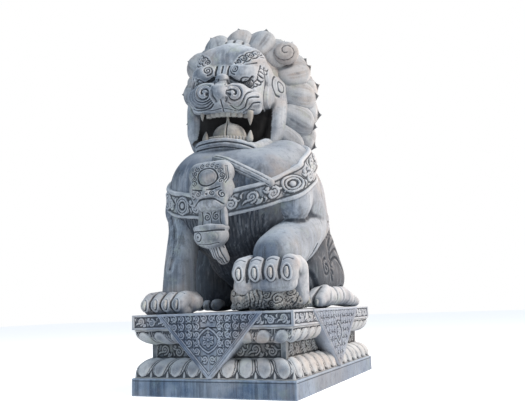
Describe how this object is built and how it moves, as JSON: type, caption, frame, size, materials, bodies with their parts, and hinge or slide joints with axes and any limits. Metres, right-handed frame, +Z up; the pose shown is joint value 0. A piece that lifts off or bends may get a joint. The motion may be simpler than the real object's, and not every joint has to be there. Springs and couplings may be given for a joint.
{
  "type": "foo dog statue",
  "caption": "Carved stone guardian lion with harness, bell and open mouth, a cub under its left forepaw, seated on a stepped lotus pedestal with hanging cloths.",
  "frame": {"origin": "middle of the plinth's underside, on the ground", "axes": "+Z up; the lion looks along -Y; +X is the lion's left, the side of the cub"},
  "size_m": [0.912, 1.342, 2.1371],
  "materials": {
    "plinth_stone": "sawn and rubbed, rain streaked",
    "lotus_stone": "carved petals, dusty on top",
    "waist_stone": "carved in low relief, dark in the ground",
    "slab_stone": "carved border, rubbed top",
    "cloth_stone": "carved in low relief",
    "bed_mortar": "lime mortar, raked back",
    "dowel_steel": "round bar, hidden",
    "body_stone": "bush hammered and rubbed, streaked",
    "paw_stone": "rubbed, worn on the toes",
    "claw_stone": "rubbed",
    "harness_stone": "carved in relief",
    "head_stone": "rubbed, worn on the brow and nose",
    "eye_stone": "rubbed",
    "mouth_stone": "rubbed",
    "mane_stone": "combed with a point chisel",
    "cub_stone": "rubbed, worn"
  },
  "bodies": {
    "root": {"plinth_block": "plinth_stone", "lower_lotus_course": "lotus_stone", "waist_block": "waist_stone", "upper_lotus_course": "lotus_stone", "base_slab": "slab_stone", "cloth_front": "cloth_stone", "cloth_back": "cloth_stone", "cloth_left": "cloth_stone", "cloth_right": "cloth_stone", "mortar_beds": "bed_mortar", "dowel_pins": "dowel_steel", "torso": "body_stone", "right_foreleg": "body_stone", "left_foreleg": "body_stone", "right_fore_paw": "paw_stone", "left_fore_paw": "paw_stone", "right_haunch": "body_stone", "left_haunch": "body_stone", "right_hind_paw": "paw_stone", "left_hind_paw": "paw_stone", "claws": "claw_stone", "tail": "body_stone", "harness_collar": "harness_stone", "chest_mask": "harness_stone", "mask_strap": "harness_stone", "bell": "harness_stone", "bell_tassel": "harness_stone", "skull": "head_stone", "brows": "head_stone", "eyes": "eye_stone", "muzzle": "head_stone", "nose": "head_stone", "upper_teeth": "mouth_stone", "upper_fangs": "mouth_stone", "tongue": "mouth_stone", "lower_jaw": "head_stone", "lower_teeth": "mouth_stone", "lower_fangs": "mouth_stone", "jowls": "head_stone", "ears": "head_stone", "mane_core": "mane_stone", "mane_front_locks": "mane_stone", "mane_side_locks": "mane_stone", "mane_back_locks": "mane_stone", "nape_locks": "mane_stone", "cub_body": "cub_stone", "cub_head": "cub_stone", "cub_forelegs": "cub_stone", "cub_hind_legs": "cub_stone", "cub_tail": "cub_stone"}
  },
  "joints": []
}
